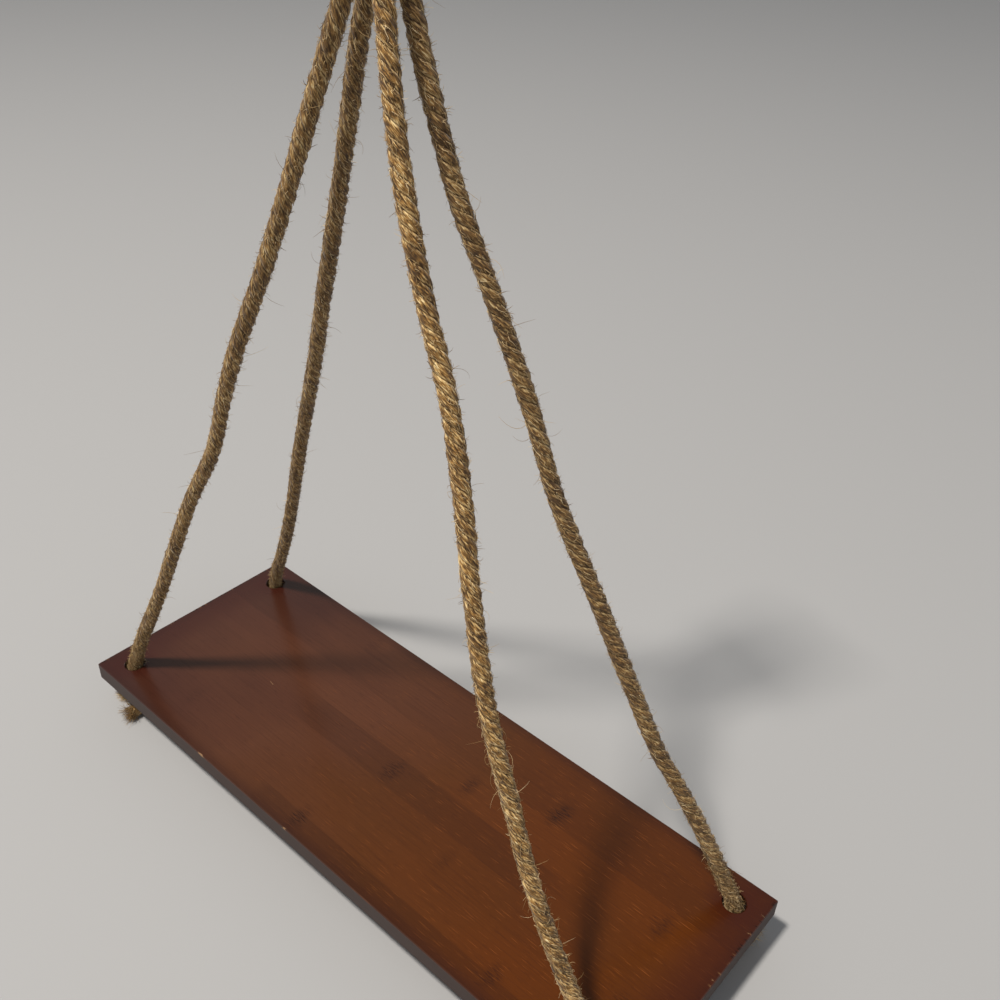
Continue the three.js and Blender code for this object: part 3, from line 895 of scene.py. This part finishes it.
def make_rope(side_name, side, seed):
    rope = whole_rope(side_name, side, seed)
    marks = rope_marks(rope)
    for end_name, (tail, foot, neck_seam, bound_seam) in marks.items():
        corner = f"{side_name}_{end_name}"
        knot = rope.cut(tail, foot)
        knot_piece = lay_knot(knot, corner)
        leg = rope.cut(foot, neck_seam)
        leg_piece = lay_leg(leg, corner)
        fray_knot(knot, corner)
        lay_neck(rope.cut(neck_seam, bound_seam), corner)
    lay_loop(rope.cut(marks["left"][3], marks["right"][3]), side_name)


make_rope("front", -1, 11)
make_rope("back", 1, 47)


# The binding: twine wound tight round the four ropes
TWINE_STEP = 0.5 * MM
TWINE_FULLNESS = 1.04
TWINE_SEED = 83
TWINE_HAIRS = 900
TWINE_HAIR_LENGTHS = (1 * MM, 4 * MM)
STEPS_PER_TURN = 24
PAST_LAST_TURN = 0.04


def binding_line():
    radius = BUNDLE_RADIUS + CLEARANCE + TWINE_RADIUS
    pitch = 2 * TWINE_RADIUS + TWINE_GAP
    bottom = BIND_BOTTOM_Z + TWINE_RADIUS + CLEARANCE
    turns = np.linspace(-PAST_LAST_TURN, BINDING_TURNS + PAST_LAST_TURN, BINDING_TURNS * STEPS_PER_TURN)
    angle = 2 * math.pi * turns
    points = np.stack([radius * np.cos(angle), radius * np.sin(angle), bottom + pitch * turns], axis=1)
    return smooth_line(points, TWINE_STEP)


def make_binding():
    line = binding_line()
    twine = Rope(line, np.full(len(line), TWINE_RADIUS * TWINE_FULLNESS), TWINE_LAY, TWINE_SEED)
    piece = rope_mesh("wound_twine", twine, twine_jute, TWINE_COLUMNS)
    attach(piece, "binding")
    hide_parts("twine_binding")
    hairs = standing_hairs(twine, TWINE_HAIRS, TWINE_HAIR_LENGTHS)
    thickness = random.uniform(0.08, 0.13, TWINE_HAIRS) * MM
    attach(hair_mesh("twine_fuzz", hairs, thickness), "binding")


make_binding()


# Bamboo under dark red-brown lacquer: glued strips with knuckle marks, fine grain, satin gloss.
# All places and sizes are millimetres on the board, from its middle.
BAMBOO_STOPS = ((0.2, 0x46261D), (0.45, 0x5A3522), (0.7, 0x573014), (1.0, 0x5C2D07))
STRIP_EDGES_MM = (-61.5, -38.5, -15.4, 5.6, 31, 53)
STRIP_TONES = (0xF2F2F2, 0xFFFFFF, 0xF8F8F8, 0xFAFAFA, 0xFFFFFF, 0xF3F3F3, 0xEFEFEF)
DARK_STRIP = 0x24100A
KNUCKLE = 0x200E0A
DARK_GRAIN = 0x2C130B
PALE_PORE = 0xA8602A
THICK_LACQUER = 0x2C1310
RED_LACQUER = 0x37120D
# Painted shade and a painted reflection of the rope round each hole, and painted shade in the bores
HOLE_SHADE_AND_REFLECTION = 0x3A140E
BORE_SHADE = 0x140A07
SAW_BURN = 0x180A07
BARE_NICK = 0xA8825A
# Cut edges' grey-brown: partly their own tone, partly a painted reflection of the floor
CUT_EDGE_TONE_AND_REFLECTION = 0x3C2F2B
CUT_END = 0x2E140B
BARE_CHIP = 0x907050

# Darker stretches of a strip: its ends, its sides, depth, and how gently it fades at its ends
DARK_STRIPS_MM = (
    (-97, 129, -15.4, 5.6, 0.22, 26),
    (-55, 215, -80, -61.5, 0.2, 8),
    (-215, -120, 31, 80, 0.1, 30),
    (40, 215, 31, 53, 0.1, 20),
    (-215, -20, -61.5, -38.5, 0.08, 30),
)

# Noise makes outlines ragged along and across the grain. Knuckles: place, depth and size. Chips of
# the upper edges and face: place, and how flat each is.
RAGGED_X_MM = 16
RAGGED_Y_MM = 5
KNUCKLE_SHAPE = (1.5, 0.8, 1)
KNUCKLES_MM = (
    (89, 38, 0.8, 12), (37, 19, 0.6, 10), (173, 19, 0.6, 11), (-4, -5, 0.65, 12), (-18, -65, 0.65, 11),
    (126, -61, 0.55, 10), (-140, -48, 0.2, 10), (-92, 62, 0.3, 10), (181, -30, 0.5, 10), (62, -28, 0.25, 10),
)
CHIPS_MM = (
    (-97, -74.6, 0.25), (-18, -74.7, 0.4), (-115, -8, 0.7),
    (209.6, 12, 1.2), (209.5, 47, 1.0), (209.6, 61, 1.2),
)

# Noises: swellings per millimetre along each axis, detail, and a shift that keeps them apart
NOISES = {
    "cloud": ((0.009, 0.012, 0.012), 3.0, 0),
    "grain": ((0.02, 1.3, 1.3), 4.0, 0),
    "pores": ((0.08, 2.4, 2.4), 1.0, 40),
    "mottle": ((0.12, 0.5, 0.5), 3.0, 90),
    "feather": ((0.05, 0.9, 0.9), 2.0, 17),
    "speckle": ((0.22, 1.6, 1.6), 3.0, 60),
    "saw_marks": ((0.05, 0.5, 0.5), 2.0, 120),
}


def bamboo_material():
    material, tree = new_material("lacquered_bamboo")
    place = add(tree, "ShaderNodeTexCoord").outputs["Object"]
    in_mm = add(tree, VECTOR_MATHS, [place, (1000, 1000, 1000)], **TIMES)
    x, y, z = add(tree, "ShaderNodeSeparateXYZ", [in_mm]).outputs
    noise = {}
    for name, (scale, detail, shift) in NOISES.items():
        moved = add(tree, MAPPING, {"Vector": in_mm, "Location": (shift, shift, 0), "Scale": scale})
        noise[name] = add(tree, NOISE, {"Vector": moved, "Scale": 1.0, "Detail": detail})

    # Redder and duller at the left end, warmer orange-brown towards the right
    along = add(tree, MAP_RANGE, [x, -215, 200], **SMOOTH)
    warmth = add(tree, MATHS, [along, 0.75], **TIMES)
    tone = add(tree, MATHS, [noise["cloud"], 0.5, warmth], **TIMES_PLUS)
    colour = add(tree, RAMP, [tone], BAMBOO_STOPS)

    # Strips of slightly different tone
    width = 2 * HALF_WIDTH / MM
    strip = add(tree, MATHS, [y, 1 / width, 0.5], **TIMES_PLUS)
    shares = [0] + [edge / width + 0.5 for edge in STRIP_EDGES_MM]
    strips = add(tree, RAMP, [strip], list(zip(shares, STRIP_TONES)))
    strips.color_ramp.interpolation = "CONSTANT"
    colour = add(tree, MIX, [1.0, colour, strips], **COLOURS, blend_type="MULTIPLY")
    for low_x, high_x, low_y, high_y, depth, fade in DARK_STRIPS_MM:
        inside = depth
        for axis, outer, inner in (
            (x, low_x, low_x + fade),
            (x, high_x, high_x - fade),
            (y, low_y - 0.5, low_y + 0.5),
            (y, high_y + 0.5, high_y - 0.5),
        ):
            edge = add(tree, MAP_RANGE, [axis, outer, inner], **SMOOTH)
            inside = add(tree, MATHS, [edge, inside], **TIMES)
        colour = add(tree, MIX, [inside, colour, linear(DARK_STRIP)], **COLOURS)

    # Knuckles: speckled dark smudges, feathered along the grain
    rough_x = add(tree, MATHS, [noise["feather"], RAGGED_X_MM, x], **TIMES_PLUS)
    rough_y = add(tree, MATHS, [noise["mottle"], RAGGED_Y_MM, y], **TIMES_PLUS)
    rough = add(tree, "ShaderNodeCombineXYZ", [rough_x, rough_y])
    speckle = add(tree, MAP_RANGE, [noise["speckle"], 0.4, 0.6, 0.15, 1.0], **SMOOTH)
    for knuckle_x, knuckle_y, depth, size in KNUCKLES_MM:
        middle = (knuckle_x + RAGGED_X_MM / 2, knuckle_y + RAGGED_Y_MM / 2, 0)
        moved = [-scale * place for scale, place in zip(KNUCKLE_SHAPE, middle)]
        spot = {"Vector": rough, "Location": moved, "Scale": KNUCKLE_SHAPE}
        spot = add(tree, VECTOR_MATHS, [add(tree, MAPPING, spot)], operation="LENGTH")
        mark = add(tree, MAP_RANGE, [spot, size, 0.1 * size, 0.0, depth], **SMOOTH)
        mark = add(tree, MATHS, [mark, speckle], **TIMES)
        colour = add(tree, MIX, [mark, colour, linear(KNUCKLE)], **COLOURS)

    # Grain: long fine lines, and short pale pores that show where the lacquer is thin, to the right.
    # Both are drawn two or three times as wide as real ones.
    for pattern, low, high, depth, tint in (
        ("grain", 0.45, 0.7, 0.22, DARK_GRAIN),
        ("mottle", 0.55, 0.8, 0.25, DARK_GRAIN),
        ("pores", 0.64, 0.76, 0.45, PALE_PORE),
    ):
        mark = add(tree, MAP_RANGE, [noise[pattern], low, high, 0.0, depth], **SMOOTH)
        if pattern == "pores":
            mark = add(tree, MATHS, [mark, along], **TIMES)
        colour = add(tree, MIX, [mark, colour, linear(tint)], **COLOURS)

    # Lacquer is thicker and darker at the edges, at the ends and round the holes. Round the holes painted
    # shade and a painted reflection of the rope darken it further, and the bores are painted near black as
    # shade
    aside = add(tree, VECTOR_MATHS, [in_mm], operation="ABSOLUTE")
    corner = (HALF_LENGTH / MM, HALF_WIDTH / MM, 0)
    inward = add(tree, VECTOR_MATHS, [corner, aside], operation="SUBTRACT")
    from_end, from_side, _ = add(tree, "ShaderNodeSeparateXYZ", [inward]).outputs
    edge = add(tree, MATHS, [from_end, from_side], operation="MINIMUM")
    hole = (HOLE_FROM_EDGE / MM, HOLE_FROM_EDGE / MM, 0)
    flat = add(tree, VECTOR_MATHS, [inward, (1, 1, 0)], **TIMES)
    from_hole = add(tree, VECTOR_MATHS, [flat, hole], operation="DISTANCE")
    for measure, far, near, depth, tint in (
        (edge, 9, 0.5, 0.45, THICK_LACQUER),
        (from_end, 30, 8, 0.55, RED_LACQUER),
        (from_hole, 20, 6.5, 0.55, HOLE_SHADE_AND_REFLECTION),
        (from_hole, 6.6, 6.3, 1.0, BORE_SHADE),
    ):
        mark = add(tree, MAP_RANGE, [measure, far, near, 0.0, depth], **SMOOTH)
        colour = add(tree, MIX, [mark, colour, linear(tint)], **COLOURS)

    # Saw marks along the ends' upper edges: short nicks, some dark and some down to bare bamboo
    near_end = add(tree, MAP_RANGE, [from_end, 2.6, 0.6], **SMOOTH)
    for low, high, depth, tint in ((0.55, 0.61, 0.75, SAW_BURN), (0.36, 0.32, 0.3, BARE_NICK)):
        mark = add(tree, MAP_RANGE, [noise["saw_marks"], low, high, 0.0, depth], **SMOOTH)
        mark = add(tree, MATHS, [mark, near_end], **TIMES)
        colour = add(tree, MIX, [mark, colour, linear(tint)], **COLOURS)

    # The cut edges: dull grey-brown where the lacquer is thin, the grey in part a painted reflection of the
    # grey floor, and browner at the ends
    top_mm = BOARD_TOP_Z / MM
    below = add(tree, MAP_RANGE, [z, top_mm - 0.3, top_mm - 0.6], **SMOOTH)
    side = add(tree, MAP_RANGE, [edge, 0.8, 0.4], **SMOOTH)
    side = add(tree, MATHS, [below, side], **TIMES)
    cover = add(tree, MATHS, [side, 0.9], **TIMES)
    colour = add(tree, MIX, [cover, colour, linear(CUT_EDGE_TONE_AND_REFLECTION)], **COLOURS)
    end_face = add(tree, MAP_RANGE, [from_end, 0.6, 0.3, 0.0, 0.95], **SMOOTH)
    end_face = add(tree, MATHS, [end_face, below], **TIMES)
    colour = add(tree, MIX, [end_face, colour, linear(CUT_END)], **COLOURS)

    # Small chips of bare bamboo
    upper = add(tree, MAP_RANGE, [z, top_mm - 1.2, top_mm - 0.8], **SMOOTH)
    rough = add(tree, "ShaderNodeCombineXYZ", [rough_x, y])
    for chip_x, chip_y, flatten in CHIPS_MM:
        moved = (-(chip_x + RAGGED_X_MM / 2) * flatten, -chip_y, 0)
        spot = {"Vector": rough, "Location": moved, "Scale": (flatten, 1, 0)}
        spot = add(tree, VECTOR_MATHS, [add(tree, MAPPING, spot)], operation="LENGTH")
        chip = add(tree, MAP_RANGE, [spot, 0.6, 0.25], **SMOOTH)
        chip = add(tree, MATHS, [chip, upper], **TIMES)
        colour = add(tree, MIX, [chip, colour, linear(BARE_CHIP)], **COLOURS)

    # Satin lacquer that is duller on the cut edges
    height = add(tree, MATHS, [noise["pores"], 0.5, noise["grain"]], **TIMES_PLUS)
    bump = add(tree, "ShaderNodeBump", {"Height": height, "Strength": 0.15, "Distance": 0.1 * MM})
    polish = add(tree, MATHS, [noise["cloud"], 0.16, 0.15], **TIMES_PLUS)
    finish = {
        "Base Color": colour,
        "Normal": bump,
        "Roughness": add(tree, MATHS, [side, 0.4, polish], **TIMES_PLUS),
        "IOR": 1.5,
        "Coat Weight": add(tree, MATHS, [side, -0.1, 0.1], **TIMES_PLUS),
        "Coat Roughness": 0.15,
    }
    add(tree, OUTPUT, [add(tree, PRINCIPLED, finish)])
    return material


def lacquer_board():
    bamboo = bamboo_material()
    for slot in bpy.data.objects["bamboo_board"].material_slots:
        slot.material = bamboo


lacquer_board()


# Floor and light
FLOOR_GAP = 0.5 * MM
FLOOR_SIZE = 8
FLOOR = 0xB2B4B7
BACKDROP = 0xC8C7C4
ROOM = 0xEAEAEA
WARM_WHITE = 0xFFF6EA


def make_floor():
    for piece in bpy.context.selected_objects:
        piece.select_set(False)
    bpy.ops.mesh.primitive_plane_add(size=FLOOR_SIZE, location=(0, 0, cad_box[0][2] - FLOOR_GAP))
    floor = bpy.context.active_object
    floor.name = "floor"
    material, tree = new_material("pale_floor")
    finish = {"Base Color": linear(FLOOR), "Roughness": 0.9}
    add(tree, OUTPUT, [add(tree, PRINCIPLED, finish)])
    floor.data.materials.append(material)


def make_lamp(name, towards, distance, size, power, colour):
    """A soft square lamp that shines at the shelf's middle from the direction towards."""
    lamp = bpy.data.objects.new(name, bpy.data.lights.new(name, "AREA"))
    bpy.context.scene.collection.objects.link(lamp)
    middle = Vector((0, 0, (BOARD_TOP_Z + GATHER_Z) / 2))
    direction = Vector(towards).normalized()
    lamp.location = middle + direction * distance
    lamp.rotation_euler = direction.to_track_quat("Z", "Y").to_euler()
    lamp.data.size = size
    lamp.data.energy = power
    lamp.data.color = linear(colour)[:3]


def make_world():
    """A pale room, brightest along its walls and darker overhead, and an even backdrop to look at."""
    world = bpy.context.scene.world or bpy.data.worlds.new("world")
    bpy.context.scene.world = world
    world.use_nodes = True
    tree = world.node_tree
    tree.nodes.clear()
    direction = add(tree, "ShaderNodeTexCoord").outputs["Generated"]
    height = add(tree, "ShaderNodeSeparateXYZ", [direction]).outputs["Z"]
    brightness = add(tree, MAP_RANGE, [height, 0.3, 0.9, 0.62, 0.2], **SMOOTH)
    room = add(tree, "ShaderNodeBackground", [linear(ROOM), brightness])
    fading = add(tree, MAP_RANGE, [height, 0.3, 0.9, 1.0, 0.2], **SMOOTH)
    backdrop = add(tree, "ShaderNodeBackground", [linear(BACKDROP), fading])
    rays = add(tree, "ShaderNodeLightPath").outputs
    seen = add(tree, MATHS, [rays["Is Camera Ray"], rays["Is Glossy Ray"]], operation="MAXIMUM")
    seen = add(tree, MATHS, [seen, rays["Is Transmission Ray"]], operation="MAXIMUM")
    shader = add(tree, "ShaderNodeMixShader", [seen, room, backdrop])
    add(tree, "ShaderNodeOutputWorld", [shader])


make_floor()
make_world()
make_lamp("key_lamp", towards=(-0.14, -0.41, 1), distance=3.5, size=0.38, power=130, colour=WARM_WHITE)
bpy.context.scene.view_settings.view_transform = "Standard"
